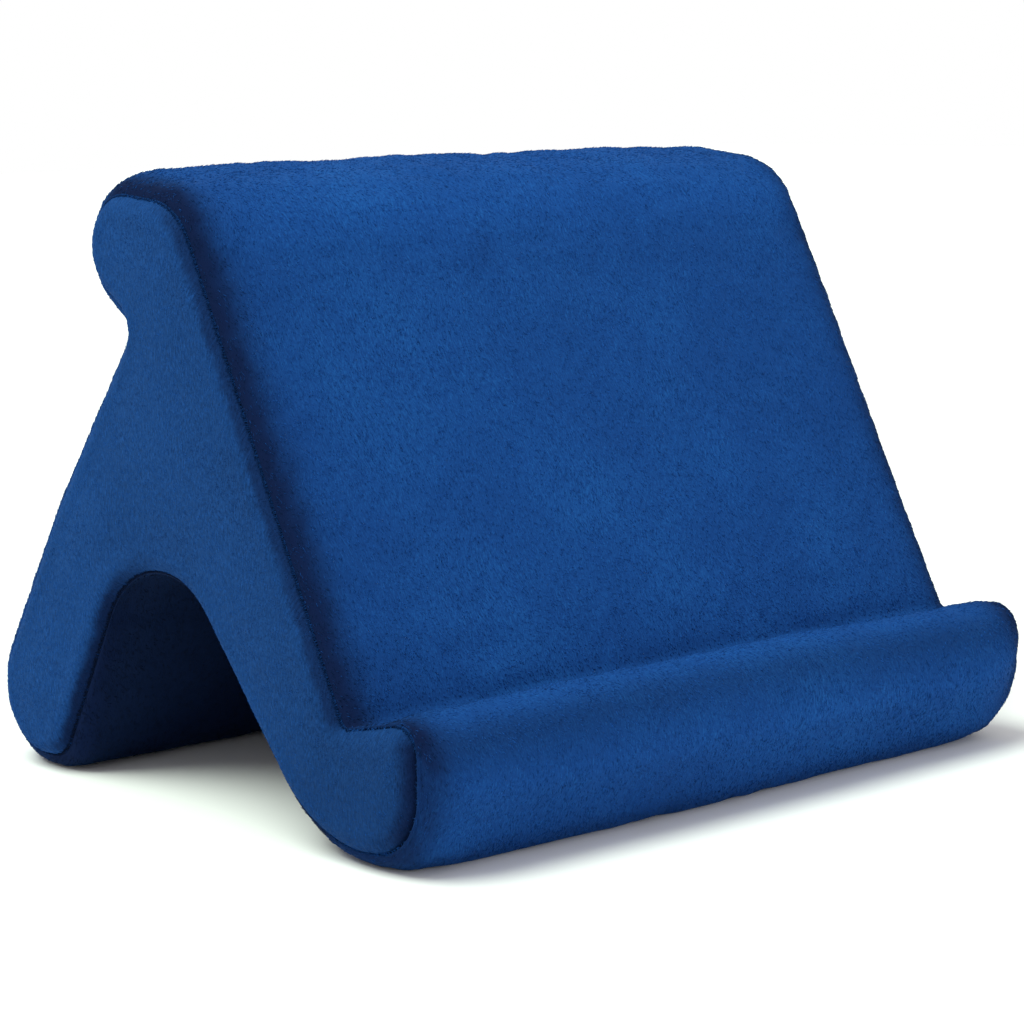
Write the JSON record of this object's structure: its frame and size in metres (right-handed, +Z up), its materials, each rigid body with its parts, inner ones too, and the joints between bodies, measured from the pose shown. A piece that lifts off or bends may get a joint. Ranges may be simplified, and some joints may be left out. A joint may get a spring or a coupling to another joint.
{
  "type": "tablet pillow",
  "caption": "A-shaped plush cushion with a sloped rest face, a fat lip roll along its foot, a tunnel arch through under the slope and a rear leg under a top roll.",
  "frame": {"origin": "on the floor, under the middle of the width and the depth", "axes": "+X along the width, -Y towards the lip roll, +Z up"},
  "size_m": [0.291, 0.2606, 0.2184],
  "materials": {
    "plush": "short-pile velvet plush in royal blue, with the pile brushed in irregular directions"
  },
  "bodies": {
    "root": {"cushion_body": "plush", "end_panel_left": "plush", "end_panel_right": "plush"}
  },
  "joints": []
}
